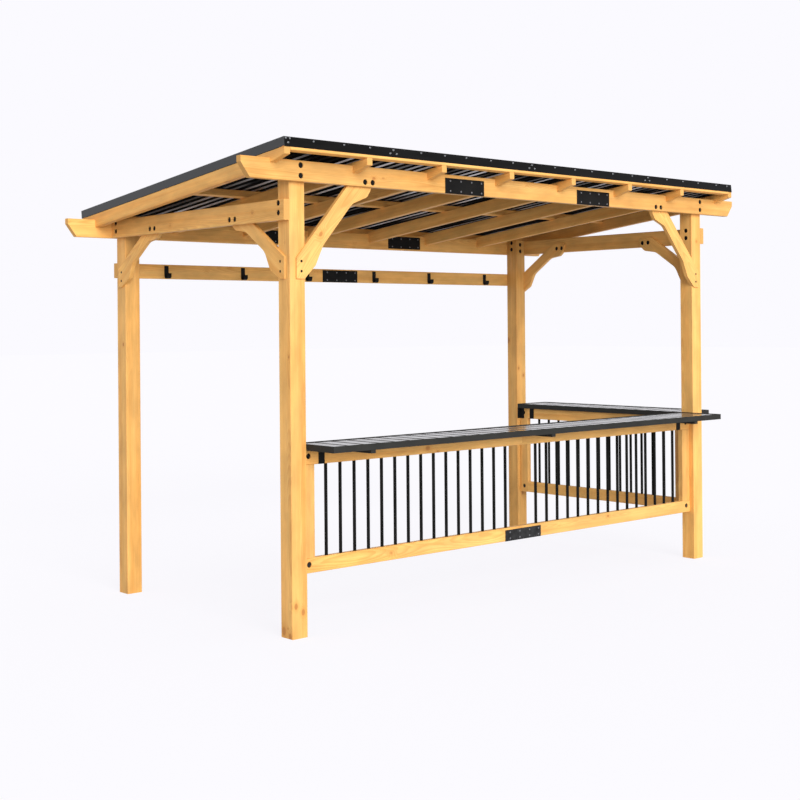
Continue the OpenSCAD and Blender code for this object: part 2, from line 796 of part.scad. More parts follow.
side_baluster_x = [for (k = [0 : side_count])
    side_span / 2 + (k - side_count / 2) * baluster_pitch];

module top_rail(span, hole_x) {
    rail_body(span, top_rail_z, hole_x, top_rail_z - over);
}
module bottom_rail(span, hole_x) {
    rail_body(span, low_rail_z, hole_x, low_rail_z + board_h - baluster_seat);
}
module front_top_rail_left() {
    timber() between(0, mid_x) top_rail(frame_l, front_baluster_x);
}
module front_top_rail_right() {
    timber() between(mid_x, frame_l) top_rail(frame_l, front_baluster_x);
}
module front_bottom_rail_left() {
    timber() between(0, mid_x) bottom_rail(frame_l, front_baluster_x);
}
module front_bottom_rail_right() {
    timber() between(mid_x, frame_l) bottom_rail(frame_l, front_baluster_x);
}
module side_top_rail() { timber() turned() top_rail(side_span, side_baluster_x); }
module side_bottom_rail() { timber() turned() bottom_rail(side_span, side_baluster_x); }

module stud(span) {
    difference() {
        translate([post_w, bar_y, low_rail_z]) standing(stud_l, board_h, board_t);
        for (z = [low_rail_z - over, top_rail_z - fit_gap])
            translate([post_w - over, bar_y - over, z])
                cube([board_h + 2 * over, lap_t + over, board_h + fit_gap + over]);
        for (z = [low_rail_z, top_rail_z]) rail_bolt_places(span, z) bolt_hole(rail_grip);
    }
}
module stud_pair(span) {
    stud(span);
    translate([span, 0, 0]) mirror([1, 0, 0]) stud(span);
}
module bar_studs() {
    timber() {
        stud_pair(frame_l);
        turned() stud_pair(side_span);
    }
}

module balusters(places) {
    for (x = places)
        translate([x, bar_y + lap_t, low_rail_z + board_h - baluster_seat])
            cylinder(h = baluster_l, d = baluster_d);
}
module front_balusters() { black_steel() balusters(front_baluster_x); }
module side_balusters() { black_steel() turned() balusters(side_baluster_x); }

// A counter's frame: a wall all round with a ledge inside, and arms welded under it
counter_from = post_w + counter_gap;
function counter_len(span) = span - 2 * counter_from;
module counter_frame(span, arm_places) {
    len_x = counter_len(span);
    translate([counter_from, -counter_out, counter_z]) difference() {
        cube([len_x, counter_depth, counter_h]);
        translate([counter_ledge, counter_ledge, -over])
            cube([len_x - 2 * counter_ledge, counter_depth - 2 * counter_ledge, counter_h]);
        translate([counter_wall, counter_wall, counter_wall])
            cube([len_x - 2 * counter_wall, counter_depth - 2 * counter_wall, counter_h]);
    }
    for (x = arm_places)
        translate([x - arm_w / 2, -counter_out + arm_inset, counter_z - arm_h])
            cube([arm_w, counter_out - arm_inset + bar_y - fit_gap, arm_h]);
}
// A slat is a folded strip whose turned-down sides stand on the ledge
module slat(wide, deep) {
    high = counter_h - counter_wall - slat_recess;
    rotate([-90, 0, 0]) mirror([0, 1, 0]) linear_extrude(deep) difference() {
        square([wide, high]);
        translate([slat_t, -over]) square([wide - 2 * slat_t, high - slat_t + over]);
    }
}
module counter_slats(span) {
    len_x = counter_len(span) - 2 * counter_wall - slat_gap;
    count = round(len_x / slat_pitch);
    step = len_x / count;
    deep = counter_depth - 2 * counter_wall - 2 * fit_gap;
    for (k = [0 : count - 1])
        translate([
            counter_from + counter_wall + slat_gap + k * step,
            -counter_out + counter_wall + fit_gap,
            counter_z + counter_wall
        ]) slat(step - slat_gap, deep);
}
front_arms = [post_w + front_arm_in, mid_x, frame_l - post_w - front_arm_in];
side_arms = [post_w + side_arm_in, side_span - post_w - side_arm_in];
module front_counter_frame() { color(grey_colour) place() counter_frame(frame_l, front_arms); }
module front_counter_slats() { color(slat_colour) place() counter_slats(frame_l); }
module side_counter_frame() {
    color(grey_colour) place() turned() counter_frame(side_span, side_arms);
}
module side_counter_slats() { color(slat_colour) place() turned() counter_slats(side_span); }

// Saddle straps fold over the upper rail and carry the slats
module saddle(x) {
    translate([x + saddle_w / 2, 0, 0]) rotate([0, -90, 0]) linear_extrude(saddle_w)
        difference() {
            translate([top_rail_z, bar_y - counter_wall])
                square([board_h + counter_wall, board_t + 2 * counter_wall]);
            translate([top_rail_z - over, bar_y]) square([board_h + over, board_t]);
        }
}
module saddle_pair(span) {
    saddle(post_w + saddle_end);
    saddle(span - post_w - saddle_end);
}
module counter_saddles() {
    black_steel() {
        saddle_pair(frame_l);
        turned() saddle_pair(side_span);
    }
}

// Steel angles join the upper rails' ends to the posts on the inner side
module rail_angle() {
    translate([post_w, bar_in, top_rail_z]) linear_extrude(board_h) {
        square([angle_leg, counter_wall]);
        square([counter_wall, post_w - bar_in - counter_gap]);
    }
}
module angle_pair(span) {
    rail_angle();
    translate([span, 0, 0]) mirror([1, 0, 0]) rail_angle();
}
module rail_angles() {
    black_steel() {
        angle_pair(frame_l);
        turned() angle_pair(side_span);
    }
}

module post_bolts_left() {
    at_front_bolts() bolt(post_grip);
    at_rear_bolts() bolt(post_grip);
    at_side_bolts() bolt(post_grip);
    mirror_y() at_side_bolts() bolt(post_grip);
    at_front_brace_bolts() bolt(brace_grip);
    at_side_brace_bolts() bolt(brace_grip);
    mirror_y() at_side_brace_bolts() bolt(brace_grip);
}
module rail_bolts(span) {
    for (z = [low_rail_z, top_rail_z]) rail_bolt_places(span, z) bolt(rail_grip);
}
module frame_bolts() {
    black_steel() {
        post_bolts_left();
        mirror_x() post_bolts_left();
        rail_bolts(frame_l);
        turned() rail_bolts(side_span);
    }
}
module screws_left() {
    at_front_screws() screw();
    at_side_screws() screw();
    mirror_y() at_side_screws() screw();
}
module brace_screws() {
    color([0.35, 0.27, 0.17]) place() {
        screws_left();
        mirror_x() screws_left();
    }
}

post_front_left();
post_front_right();
post_rear_left();
post_rear_right();
front_beam_left();
front_beam_middle();
front_beam_right();
rear_beam_left();
rear_beam_middle();
rear_beam_right();
side_beam_left();
side_beam_right();
front_brace_left();
front_brace_right();
side_brace_front_left();
side_brace_rear_left();
side_brace_front_right();
side_brace_rear_right();
rafter_1();
rafter_2();
rafter_3();
rafter_4();
rafter_5();
rafter_6();
rafter_7();
rafter_8();
purlin_front();
purlin_middle();
purlin_rear();
roof_sheet_1();
roof_sheet_2();
roof_sheet_3();
roof_sheet_4();
fascia_1();
fascia_2();
fascia_3();
fascia_4();
gable_trim_left();
gable_trim_right();
hook_rail_left();
hook_rail_right();
tool_hooks();
splice_plates();
bar_studs();
front_top_rail_left();
front_top_rail_right();
front_bottom_rail_left();
front_bottom_rail_right();
side_top_rail();
side_bottom_rail();
front_balusters();
side_balusters();
front_counter_frame();
front_counter_slats();
side_counter_frame();
side_counter_slats();
counter_saddles();
rail_angles();
frame_bolts();
brace_screws();
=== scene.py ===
# %% [markdown]
# # A grill gazebo in planed pine and black steel
#
# This lesson dresses the gazebo's CAD model: four posts, beams with slanted ends, eight rafters
# under a ribbed steel roof, and two bar counters. The solids already have the right shapes, so
# most of the work is in the finishes: pine that knows which way each board's grain runs, powder
# coated steel, and the small screws that hold the plates, the trims and the roof.

# %% Open the model and keep its box
import math
import random

import bpy
from mathutils import Matrix, Vector


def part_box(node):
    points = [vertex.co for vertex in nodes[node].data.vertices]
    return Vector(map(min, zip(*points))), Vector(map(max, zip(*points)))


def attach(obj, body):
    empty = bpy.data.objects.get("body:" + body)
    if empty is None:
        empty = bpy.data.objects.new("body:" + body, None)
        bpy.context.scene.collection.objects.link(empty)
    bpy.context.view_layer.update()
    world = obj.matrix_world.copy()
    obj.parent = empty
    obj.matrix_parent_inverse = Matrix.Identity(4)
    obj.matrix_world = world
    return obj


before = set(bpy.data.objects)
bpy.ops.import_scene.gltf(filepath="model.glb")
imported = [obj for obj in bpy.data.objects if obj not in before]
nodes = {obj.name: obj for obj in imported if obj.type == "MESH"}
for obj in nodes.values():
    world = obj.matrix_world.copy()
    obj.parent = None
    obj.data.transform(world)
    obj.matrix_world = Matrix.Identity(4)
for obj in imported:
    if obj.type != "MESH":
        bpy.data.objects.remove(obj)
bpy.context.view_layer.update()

# %% [markdown]
# The photograph was taken from the front left, at about head height, from about ten metres
# away. A camera has no "look like this photo" button, so its place, its turn and its lens were
# worked out from the posts' feet and the roof's corners. Here they are only written down. The
# turn is built from three directions: forward, right and up.

# %% Camera
camera_place = Vector((-6.6221, -7.0788, 1.78986))
yaw, tilt, roll = 0.72639, 0.00197, -0.00834

forward = Vector((math.sin(yaw) * math.cos(tilt), math.cos(yaw) * math.cos(tilt),
                  math.sin(tilt)))
level = Vector((math.cos(yaw), -math.sin(yaw), 0))
upright = level.cross(forward)
right = level * math.cos(roll) + upright * math.sin(roll)
up = upright * math.cos(roll) - level * math.sin(roll)

camera_data = bpy.data.cameras.new("photo camera")
camera_data.sensor_width = 36
camera_data.lens = 60.39
camera_data.shift_x = 0.00599
camera_data.shift_y = -0.09535
camera_data.clip_end = 200
camera = bpy.data.objects.new("photo camera", camera_data)
turn = Matrix((right, up, -forward)).transposed().to_4x4()
camera.matrix_world = Matrix.Translation(camera_place) @ turn
bpy.context.collection.objects.link(camera)
bpy.context.scene.camera = camera
bpy.context.scene.view_settings.view_transform = "Standard"
print("camera looks along", tuple(round(c, 3) for c in forward))

# %% [markdown]
# A material in Blender is a small machine of nodes joined by links. Writing each node out takes
# several lines, so the first helper adds one node, sets its options, and plugs each input with
# either a number or another node's output. The others are short names for the nodes that come
# up again and again.

# %% Helper: add a node and plug it
def put(tree, kind, inputs=None, **options):
    node = tree.nodes.new("ShaderNode" + kind)
    for name, value in options.items():
        setattr(node, name, value)
    for name, value in (inputs or {}).items():
        if isinstance(value, bpy.types.NodeSocket):
            tree.links.new(value, node.inputs[name])
        else:
            node.inputs[name].default_value = value
    return node


# %% Helpers: sums on numbers and on vectors
def sums(tree, operation, *values):
    return put(tree, "Math", dict(enumerate(values)), operation=operation).outputs[0]


def vectors(tree, operation, *values):
    node = put(tree, "VectorMath", dict(enumerate(values)), operation=operation)
    return node.outputs["Value" if operation in ("LENGTH", "DOT_PRODUCT") else "Vector"]


def stretch(tree, vector, scale, offset=(0, 0, 0)):
    return vectors(tree, "MULTIPLY_ADD", vector, scale, offset)


def fit_range(tree, value, low, high, to_low=0.0, to_high=1.0, soft=False):
    node = put(tree, "MapRange", {0: value, 1: low, 2: high, 3: to_low, 4: to_high},
               interpolation_type="SMOOTHSTEP" if soft else "LINEAR")
    return node.outputs[0]


# %% Helpers: noise and colours
def noise(tree, vector, scale=1.0, detail=2.0, roughness=0.5):
    node = put(tree, "TexNoise", {"Vector": vector, "Scale": scale, "Detail": detail,
                                  "Roughness": roughness})
    return node.outputs["Fac"]


def blend_colours(tree, amount, first, second):
    return put(tree, "Mix", {0: amount, 6: first, 7: second}, data_type="RGBA").outputs[2]


def scale_colour(tree, colour, factor):
    return put(tree, "VectorMath", {0: colour, "Scale": factor}, operation="SCALE").outputs[0]


def rgba(r, g, b):
    return (r, g, b, 1)


# %% Helpers: make a paint, and open it again
def opened(paint):
    return paint.node_tree, paint.node_tree.nodes["Principled BSDF"]


def new_paint(name):
    paint = bpy.data.materials.new(name)
    paint.use_nodes = True
    return paint, *opened(paint)


def object_place(tree):
    return put(tree, "TexCoord").outputs["Object"]


print("helpers ready")

# %% [markdown]
# The photograph has a bright, even studio light: the fronts are brightest, the left faces are
# about two thirds as bright, and the underside of the roof is lit only by the floor. One very
# soft sun from the front does that, with a dim even sky. The sky is dim for the light it gives,
# but the camera, and any shiny metal, sees it nearly white: the Light Path node tells the two
# kinds of ray apart.

# %% Which rays see the studio directly
studio_white = rgba(0.965, 0.956, 1.0)


def seen_directly(tree):
    path = put(tree, "LightPath")
    seen = sums(tree, "MAXIMUM", path.outputs["Is Camera Ray"], path.outputs["Is Glossy Ray"])
    return sums(tree, "MAXIMUM", seen, path.outputs["Is Transmission Ray"])


print("studio white is", studio_white)

# %% Sky and sun
world = bpy.data.worlds.new("studio sky")
bpy.context.scene.world = world
world.use_nodes = True
sky = world.node_tree
sky.nodes.clear()
sky_light = put(sky, "Background", {"Color": rgba(1.0, 0.99, 0.98), "Strength": 0.60})
sky_seen = put(sky, "Background", {"Color": studio_white, "Strength": 1.0})
sky_mix = put(sky, "MixShader", {0: seen_directly(sky), 1: sky_light.outputs[0],
                                 2: sky_seen.outputs[0]})
put(sky, "OutputWorld", {"Surface": sky_mix.outputs[0]})

sun_data = bpy.data.lights.new("soft front light", "SUN")
sun_data.energy = 3.35
sun_data.angle = math.radians(38)
sun_data.color = (1.0, 0.985, 0.96)
sun = bpy.data.objects.new("soft front light", sun_data)
sun_way = Vector((0.27, 0.86, -0.24))
sun.rotation_euler = sun_way.to_track_quat("-Z", "Y").to_euler()
bpy.context.collection.objects.link(sun)
print("sun shines along", tuple(sun_way))

# %% [markdown]
# The floor is one big pale sheet. Lit like any surface it would turn grey towards the horizon
# and the studio would show a line there. So for the camera most of it glows with the studio's
# own white, and the rest takes light and shadow as usual: the gazebo still stands on its faint
# shadow.

# %% Floor
floor_size, glow_share = 160, 0.78
bpy.ops.object.select_all(action="DESELECT")
bpy.ops.mesh.primitive_plane_add(size=floor_size, location=(0, 0, 0))
floor = bpy.context.object
floor.name = "studio_floor"
floor_paint = bpy.data.materials.new("pale studio floor")
floor_paint.use_nodes = True
tree = floor_paint.node_tree
tree.nodes.clear()
cloud = noise(tree, object_place(tree), 1.5)
pale = blend_colours(tree, cloud, rgba(0.60, 0.60, 0.61), rgba(0.62, 0.62, 0.63))
matt = put(tree, "BsdfDiffuse", {"Color": pale})
glow = put(tree, "Emission", {"Color": studio_white, "Strength": 1.14})
seen_floor = put(tree, "MixShader", {0: glow_share, 1: matt.outputs[0], 2: glow.outputs[0]})
floor_mix = put(tree, "MixShader", {0: seen_directly(tree), 1: matt.outputs[0],
                                    2: seen_floor.outputs[0]})
put(tree, "OutputMaterial", {"Surface": floor_mix.outputs[0]})
floor.data.materials.append(floor_paint)
print("floor laid,", floor_size, "m wide")

# %% [markdown]
# Sawn pine is a slice through a log. Streaks could be painted on each face, but they would not
# meet at the edges. If the pattern is made as a log instead, a stack of slightly wandering
# tubes of spring wood and summer wood, every face of every board shows the right cut of it by
# itself: lines on one face, arches on the next, rings on the end. That is what this node group
# does. "Board" is a place in the board in metres, with X along the grain and the heart of the
# log on the X axis.

# %% The log: sockets of the node group
pine = bpy.data.node_groups.new("planed pine", "ShaderNodeTree")
for name, kind in (("Board", "Vector"), ("Facing", "Vector"), ("Seed", "Float"),
                   ("Tone", "Float"), ("End grain", "Float"), ("Own knot", "Float")):
    pine.interface.new_socket(name, in_out="INPUT", socket_type="NodeSocket" + kind)
for name, kind in (("Color", "Color"), ("Roughness", "Float"), ("Height", "Float")):
    pine.interface.new_socket(name, in_out="OUTPUT", socket_type="NodeSocket" + kind)
given = pine.nodes.new("NodeGroupInput")
board = given.outputs["Board"]
seed_shift = put(pine, "CombineXYZ", {"X": given.outputs["Seed"], "Y": given.outputs["Seed"]})
own = vectors(pine, "ADD", board, seed_shift.outputs[0])
print("the log has", len(pine.interface.items_tree), "sockets")

# %% The log: a heart that wanders
wander = 0.09
slow = put(pine, "TexNoise", {"Vector": stretch(pine, own, (0.9, 0, 0)), "Scale": 1.0,
                              "Detail": 1.0})
lean = stretch(pine, slow.outputs["Color"], (0, wander, wander), (0, -wander / 2, -wander / 2))
bowed = vectors(pine, "ADD", board, lean)
across = vectors(pine, "MULTIPLY", bowed, (0, 1, 1))
from_heart = vectors(pine, "LENGTH", across)
print("its heart wanders by", wander, "m")

# %% [markdown]
# Branches leave the heart of the log like spokes, so a knot is a cone round a direction. The
# Voronoi texture scatters points over length and direction; one point in nine grows a knot. A
# knot is a round spot where the saw cut across the branch, so it fades on faces that run along
# the spoke.

# %% The log: knots where branches grew
knot_crowding, knot_threshold = 9.0, 0.89
smallest_knot, largest_knot = 0.07, 0.19
spoke = vectors(pine, "NORMALIZE", across)
along_log = vectors(pine, "MULTIPLY", own, (knot_crowding, 0, 0))
cells = put(pine, "TexVoronoi", {"Vector": vectors(pine, "ADD", along_log, spoke),
                                 "Scale": 1.0, "Randomness": 1.0},
            feature="F1", voronoi_dimensions="3D")
pick = put(pine, "SeparateColor", {0: cells.outputs["Color"]})
grown = sums(pine, "GREATER_THAN", pick.outputs[0], knot_threshold)
knot_size = fit_range(pine, pick.outputs[1], 0.0, 1.0, smallest_knot, largest_knot)
cut_across = vectors(pine, "DOT_PRODUCT", given.outputs["Facing"], spoke)
cut_across = fit_range(pine, sums(pine, "ABSOLUTE", cut_across), 0.60, 0.85, soft=True)
grown = sums(pine, "MULTIPLY", grown, cut_across)
near = sums(pine, "DIVIDE", cells.outputs["Distance"], knot_size)
knot = sums(pine, "MULTIPLY", grown, fit_range(pine, near, 1.05, 0.55, soft=True))
knot_rim = sums(pine, "MULTIPLY", knot, fit_range(pine, near, 0.55, 0.95, soft=True))
swirl = sums(pine, "MULTIPLY", grown, fit_range(pine, near, 3.2, 0.6, soft=True))
print("one point in", round(1 / (1 - knot_threshold)), "grows a knot")

# %% [markdown]
# Some knots show plainly in the photograph, and chance would never put one there. So a board
# may bring knots of its own: "Own knot" is the distance to the nearest of them, in knot radii,
# and a ripple in it keeps the spots from being perfect ovals.

# %% The log: knots that a board brings itself
ripple = noise(pine, stretch(pine, own, (2.2, 26, 26)))
wobble = fit_range(pine, ripple, 0.3, 0.7, -0.25, 0.25)
own_near = sums(pine, "ADD", given.outputs["Own knot"], wobble)
own_spot = fit_range(pine, own_near, 1.05, 0.45, soft=True)
own_rim = sums(pine, "MULTIPLY", own_spot, fit_range(pine, own_near, 0.45, 0.85, soft=True))
knot = sums(pine, "MAXIMUM", knot, own_spot)
knot_rim = sums(pine, "MAXIMUM", knot_rim, own_rim)
swirl = sums(pine, "MAXIMUM", swirl, fit_range(pine, own_near, 3.0, 0.6, soft=True))
print("knots ready")

# %% [markdown]
# The growth rings swing round each knot, which is why they are counted only now. Each ring
# starts as soft spring wood, darkens slowly to summer wood and ends sharply, where the winter
# was.

# %% The log: growth rings
rings_per_metre, ring_ripple, ring_swing = 210.0, 1.3, 2.6
ring_count = sums(pine, "MULTIPLY_ADD", from_heart, rings_per_metre, given.outputs["Seed"])
ring_count = sums(pine, "MULTIPLY_ADD", ripple, ring_ripple, ring_count)
ring_count = sums(pine, "MULTIPLY_ADD", swirl, ring_swing, ring_count)
ring_place = sums(pine, "FRACT", ring_count)
summer = sums(pine, "MULTIPLY", fit_range(pine, ring_place, 0.25, 0.86, soft=True),
              fit_range(pine, ring_place, 1.0, 0.90, soft=True))
print("rings about", round(1000 / rings_per_metre, 1), "mm wide")

# %% [markdown]
# The colour comes last. Spring wood is pale honey and summer wood more orange. Long soft
# streaks are what the eye reads from across a garden, and fine fibres are what it reads from a
# step away.

# %% The pine's colours
spring_pale, spring_deep = rgba(0.940, 0.556, 0.175), rgba(0.810, 0.401, 0.100)
summer_wood = rgba(0.676, 0.276, 0.056)
pale_patch = rgba(0.945, 0.592, 0.230)
round_the_knot = rgba(0.66, 0.270, 0.055)
knot_deep, knot_light = rgba(0.480, 0.185, 0.045), rgba(0.600, 0.270, 0.072)
knot_bark = rgba(0.260, 0.095, 0.025)
end_spring, end_summer = rgba(0.796, 0.447, 0.140), rgba(0.577, 0.281, 0.075)

streak = noise(pine, stretch(pine, own, (0.45, 27, 27)), detail=4.0, roughness=0.62)
fibre = noise(pine, stretch(pine, own, (9, 420, 420)))
long_cloud = noise(pine, stretch(pine, own, (1.1, 5, 5)), detail=1.0)
mottle = noise(pine, stretch(pine, own, (4.5, 13, 13)), detail=3.0)
print("wood colours chosen")

# %% Colour of the clear wood
honey = blend_colours(pine, fit_range(pine, streak, 0.34, 0.66), spring_pale, spring_deep)
honey = blend_colours(pine, sums(pine, "MULTIPLY", summer, 0.50), honey, summer_wood)
honey = blend_colours(pine, fit_range(pine, long_cloud, 0.62, 0.38, 0.0, 0.16),
                      honey, pale_patch)
fleck = sums(pine, "MULTIPLY", fit_range(pine, fibre, 0.30, 0.70, 0.92, 1.05),
             fit_range(pine, mottle, 0.32, 0.66, 0.86, 1.09))
honey = scale_colour(pine, honey, fleck)
print("clear wood coloured")

# %% Colour of the knots and of the sawn ends
honey = blend_colours(pine, fit_range(pine, swirl, 0.15, 1.0, 0.0, 0.38), honey, round_the_knot)
honey = blend_colours(pine, knot, honey, blend_colours(pine, fibre, knot_deep, knot_light))
honey = blend_colours(pine, sums(pine, "MULTIPLY", knot_rim, 0.32), honey, knot_bark)
cut_end = blend_colours(pine, summer, end_spring, end_summer)
honey = blend_colours(pine, given.outputs["End grain"], honey, cut_end)
honey = scale_colour(pine, honey, given.outputs["Tone"])
print("knots and ends coloured")

# %% [markdown]
# The oiled surface is satin. The dense summer wood shines a little more and stands a little
# proud, the fibres roughen the rest, and the sawn ends are rougher than the planed sides.

# %% Shine and relief of the pine
spring_satin, summer_satin, end_extra = 0.56, 0.44, 0.22
satin = fit_range(pine, summer, 0.0, 1.0, spring_satin, summer_satin)
satin = sums(pine, "ADD", fit_range(pine, fibre, 0.3, 0.7, -0.05, 0.07), satin)
satin = sums(pine, "MULTIPLY_ADD", given.outputs["End grain"], end_extra, satin)
relief = sums(pine, "MULTIPLY_ADD", summer, 0.6, sums(pine, "MULTIPLY", fibre, 0.8))
relief = sums(pine, "MULTIPLY_ADD", knot_rim, -1.2, relief)
given_back = pine.nodes.new("NodeGroupOutput")
pine.links.new(honey, given_back.inputs["Color"])
pine.links.new(satin, given_back.inputs["Roughness"])
pine.links.new(relief, given_back.inputs["Height"])
print("planed pine has", len(pine.nodes), "nodes")

# %% [markdown]
# Real boards differ in tone, and a few carry knots that everybody sees. Both are written down
# here. The rear right post's tone is partly its own and partly painted shade, darkening it as
# the roof shades it. A tone belongs to all nodes whose name starts with its key, the first key
# that fits. A knot is a place on the board's surface and a radius, both in metres.

# %% Tones and plain knots of the real boards
usual_tone = 0.97
board_tones_and_shade = {
    # post_rear_right: partly its own tone, partly painted shade of the roof
    "post_front_left": 1.0, "post_front_right": 1.06, "post_rear_left": 0.94,
    "post_rear_right": 0.79, "front_beam": 0.91, "front_bottom_rail_right": 0.97,
    "front_bottom_rail_left": 1.06, "front_brace": 1.03, "bar_studs": 0.90, "rear_beam": 1.05,
    "hook_rail_right": 0.87, "rafter_1": 0.97, "rafter_8": 0.97, "rafter": 1.06,
    "purlin": 1.06,
}
shown_knots = {
    "post_front_left": [((-1.947, -0.939, 0.187), 0.014), ((-1.893, -0.939, 0.148), 0.015),
                        ((-1.971, -0.857, 0.038), 0.021), ((-1.971, -0.915, 0.012), 0.018),
                        ((-1.971, -0.923, 1.619), 0.007)],
    "post_front_right": [((1.919, -0.939, 2.420), 0.011)],
    "post_rear_left": [((-1.971, 0.925, 1.683), 0.009)],
    "post_rear_right": [((1.861, 0.991, 1.661), 0.019), ((1.882, 0.891, 1.419), 0.011),
                        ((1.941, 0.891, 1.357), 0.012), ((1.919, 0.891, 0.343), 0.014)],
    "front_beam_left": [((-1.364, -0.979, 2.678), 0.011)],
    "front_top_rail_left": [((-0.867, -0.901, 1.021), 0.016), ((-0.780, -0.901, 0.992), 0.011)],
    "front_bottom_rail_right": [((0.888, -0.901, 0.420), 0.013)],
}
print(sum(len(knots) for knots in shown_knots.values()), "plain knots")

# %% [markdown]
# Each board gets its own material, because each is a different slice. A Mapping node moves the
# board's middle to the heart of the log, turns its length onto X and shifts it by a few
# centimetres, so some boards are cut near the heart and others far from it. The dot product of
# the surface's direction and the board's length finds the sawn ends. For each plain knot another
# Mapping node makes a small space in which the knot is a ball of radius one, a little longer
# along the grain, so the length of the vector there is the distance in knot radii.

# %% Helper: how far a place is from a board's own knots
no_knot, knot_stretch = 9.0, 1.4
print("a board without plain knots has its nearest", no_knot, "radii away")


def own_knots(tree, name, where, turned):
    nearest = no_knot
    for spot, radius in shown_knots.get(name, []):
        knot_map = put(tree, "Mapping", {"Vector": where, "Location": spot,
                                         "Rotation": turned.to_euler(),
                                         "Scale": (knot_stretch * radius, radius, radius)},
                       vector_type="TEXTURE")
        away = vectors(tree, "LENGTH", knot_map.outputs[0])
        nearest = sums(tree, "MINIMUM", nearest, away)
    return nearest


# %% Helpers: turn a board's length onto X, and hand a node its paint
def board_turn(length_way, wide_way):
    x = Vector(length_way).normalized()
    z = x.cross(Vector(wide_way)).normalized()
    return Matrix((x, z.cross(x), z)).transposed()


def dress(node, paint):
    for slot in nodes[node].material_slots:
        slot.material = paint


chooser = random.Random(27)
print("chance starts from seed 27")


# %% Helper: a pine material for one board
def pine_for(name, centre, turned, heart):
    paint, tree, skin = new_paint("pine of " + name)
    where = put(tree, "TexCoord").outputs
    length_way = turned @ Vector((1, 0, 0))
    facing = vectors(tree, "DOT_PRODUCT", where["Normal"], length_way)
    slice_map = put(tree, "Mapping", {"Vector": where["Object"],
                                      "Location": Vector(centre) - turned @ Vector(heart),
                                      "Rotation": turned.to_euler()}, vector_type="TEXTURE")
    face_map = put(tree, "Mapping", {"Vector": where["Normal"], "Rotation": turned.to_euler()},
                   vector_type="TEXTURE")
    sawn = fit_range(tree, sums(tree, "ABSOLUTE", facing), 0.55, 0.72)
    seed = chooser.uniform(0, 40)
    tones = [tone for start, tone in board_tones_and_shade.items() if name.startswith(start)]
    tone = (tones or [usual_tone])[0] * chooser.uniform(0.98, 1.02)
    wood = put(tree, "Group", {"Board": slice_map.outputs[0], "Facing": face_map.outputs[0],
                               "Seed": seed, "Tone": tone, "End grain": sawn,
                               "Own knot": own_knots(tree, name, where["Object"], turned)},
               node_tree=pine)
    bump = put(tree, "Bump", {"Height": wood.outputs["Height"], "Strength": 0.35,
                              "Distance": 0.0006})
    tree.links.new(wood.outputs["Color"], skin.inputs["Base Color"])
    tree.links.new(wood.outputs["Roughness"], skin.inputs["Roughness"])
    tree.links.new(bump.outputs[0], skin.inputs["Normal"])
    skin.inputs["Specular IOR Level"].default_value = 0.30
    return paint


print("ready to slice boards")

# %% [markdown]
# Which way does each board run? It could be guessed from its box, but not for a sloping rafter
# or a brace. Posts and studs stand, beams and rails lie along the front or along the side,
# rafters follow the roof's slope, and each brace leans its own way. The table gives each node
# its length and the direction of its broad side.

# %% Directions of the boards
roof_fall = math.atan(221 / 1980)
down_slope = (0, math.cos(roof_fall), -math.sin(roof_fall))
stand, sideways, inward = (0, 0, 1), (1, 0, 0), (0, 1, 0)
front_lean, side_lean = math.radians(48.7), math.radians(34.5)

along_front = ("front_beam", "rear_beam", "hook_rail", "front_top_rail", "front_bottom_rail")
along_side = ("side_beam", "side_top_rail", "side_bottom_rail")
board_ways = {}
for name in nodes:
    if name.startswith(("post_", "bar_studs")):
        board_ways[name] = (stand, sideways)
    elif name.startswith(along_front):
        board_ways[name] = (sideways, stand)
    elif name.startswith("purlin"):
        board_ways[name] = (sideways, down_slope)
    elif name.startswith(along_side):
        board_ways[name] = (inward, stand)
    elif name.startswith("rafter"):
        board_ways[name] = (down_slope, stand)
    elif name.startswith("front_brace"):
        way = 1 if name.endswith("left") else -1
        board_ways[name] = ((way * math.cos(front_lean), 0, math.sin(front_lean)), inward)
    elif name.startswith("side_brace"):
        way = 1 if "front" in name else -1
        board_ways[name] = ((0, way * math.cos(side_lean), math.sin(side_lean)), sideways)
print(len(board_ways), "pine nodes")

# %% Slice the boards out of their logs
for name in sorted(board_ways):
    low, high = (Vector(corner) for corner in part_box(name))
    length_way, wide_way = board_ways[name]
    heart = (chooser.uniform(-3, 3), chooser.choice((-1, 1)) * chooser.uniform(0.02, 0.10),
             chooser.choice((-1, 1)) * chooser.uniform(0.02, 0.09))
    centre = (low + high) / 2
    if name == "bar_studs":
        centre = Vector((low.x, low.y, centre.z))
    dress(name, pine_for(name, centre, board_turn(length_way, wide_way), heart))
print("boards dressed")
